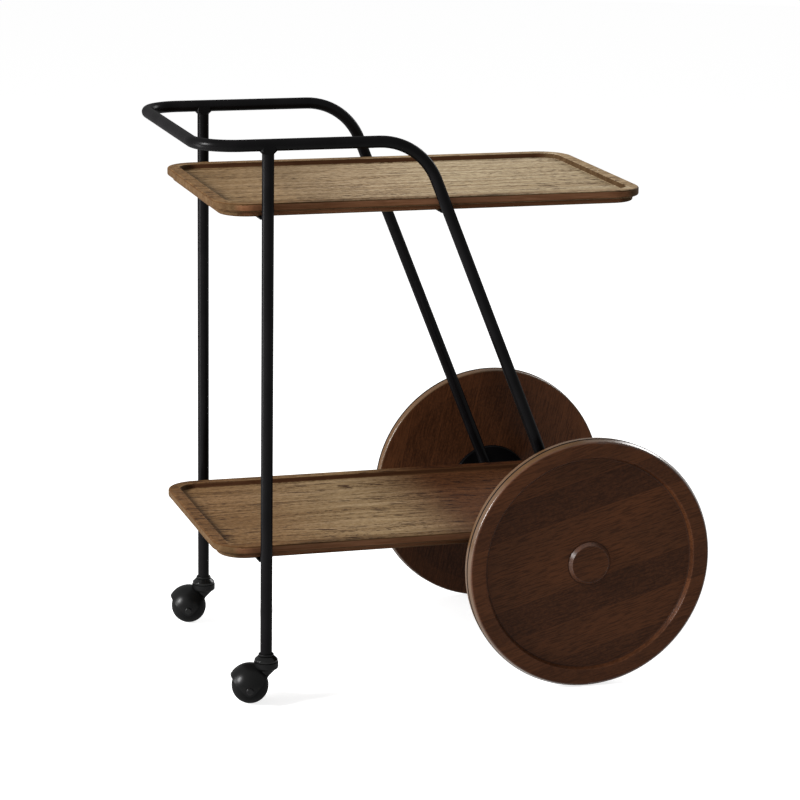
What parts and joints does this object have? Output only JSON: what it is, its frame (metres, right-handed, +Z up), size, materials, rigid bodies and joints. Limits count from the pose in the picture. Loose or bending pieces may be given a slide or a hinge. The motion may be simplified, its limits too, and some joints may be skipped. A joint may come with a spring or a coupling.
{
  "type": "serving cart",
  "caption": "Tiered serving cart: black bent-tube frame with a push handle, routed wooden trays, large wooden disc wheels at one end and hooded ball casters at the other.",
  "frame": {"origin": "on the floor, under the middle of the cart's outline", "axes": "+Z up, +X from the push handle towards the large wheels, +Y to the cart's left"},
  "size_m": [0.718, 0.4648, 0.767],
  "materials": {
    "frame_black": "satin black powder coat",
    "tray_wood": "matt brown open-pored oak veneer",
    "wheel_wood": "satin dark walnut in glued strips",
    "tread_rubber": "matt black",
    "hub_black": "satin black",
    "caster_black": "gloss black",
    "ball_black": "smooth satin black",
    "socket_nylon": "matt black",
    "steel": "zinc-plated",
    "insert_brass": "plain"
  },
  "bodies": {
    "frame": {"bent_tube": "frame_black", "left_caster_leg": "frame_black", "right_caster_leg": "frame_black", "left_axle_boss": "frame_black", "right_axle_boss": "frame_black", "upper_rear_strap": "frame_black", "upper_front_strap": "frame_black", "lower_rear_strap": "frame_black", "lower_front_strap": "frame_black", "upper_tray": "tray_wood", "lower_tray": "tray_wood", "upper_tray_inserts": "insert_brass", "lower_tray_inserts": "insert_brass", "upper_tray_screws": "steel", "lower_tray_screws": "steel", "wheel_axle": "steel", "thrust_washers": "steel", "end_washers": "steel", "axle_nuts": "steel", "left_caster_socket": "socket_nylon", "right_caster_socket": "socket_nylon"},
    "left_wheel": {"left_wheel_disc": "wheel_wood", "left_tread_ring": "tread_rubber", "left_hub_flange": "hub_black", "left_hub_bushing": "socket_nylon", "left_flange_screws": "steel", "left_hub_cap": "wheel_wood"},
    "left_caster": {"left_caster_ring": "caster_black", "left_caster_stem": "steel", "left_caster_hood": "caster_black", "left_caster_pin": "caster_black"},
    "left_ball": {"left_caster_ball": "ball_black"},
    "right_wheel": {"right_wheel_disc": "wheel_wood", "right_tread_ring": "tread_rubber", "right_hub_flange": "hub_black", "right_hub_bushing": "socket_nylon", "right_flange_screws": "steel", "right_hub_cap": "wheel_wood"},
    "right_caster": {"right_caster_ring": "caster_black", "right_caster_stem": "steel", "right_caster_hood": "caster_black", "right_caster_pin": "caster_black"},
    "right_ball": {"right_caster_ball": "ball_black"}
  },
  "joints": [
    {"name": "left_wheel_spin", "type": "hinge", "parent": "frame", "child": "left_wheel", "pos_m": [0.184, 0.2114, 0.175], "axis": [0, 1, 0], "continuous": true},
    {"name": "left_caster_swivel", "type": "hinge", "parent": "frame", "child": "left_caster", "pos_m": [-0.261, 0.187, 0.058], "axis": [0, 0, 1], "continuous": true},
    {"name": "left_ball_roll", "type": "hinge", "parent": "left_caster", "child": "left_ball", "pos_m": [-0.28186, 0.1922, 0.025], "axis": [0.2419, 0.9703, 0], "continuous": true},
    {"name": "right_wheel_spin", "type": "hinge", "parent": "frame", "child": "right_wheel", "pos_m": [0.184, -0.2114, 0.175], "axis": [0, 1, 0], "continuous": true},
    {"name": "right_caster_swivel", "type": "hinge", "parent": "frame", "child": "right_caster", "pos_m": [-0.261, -0.187, 0.058], "axis": [0, 0, 1], "continuous": true},
    {"name": "right_ball_roll", "type": "hinge", "parent": "right_caster", "child": "right_ball", "pos_m": [-0.28186, -0.1818, 0.025], "axis": [0.2419, 0.9703, 0], "continuous": true}
  ]
}
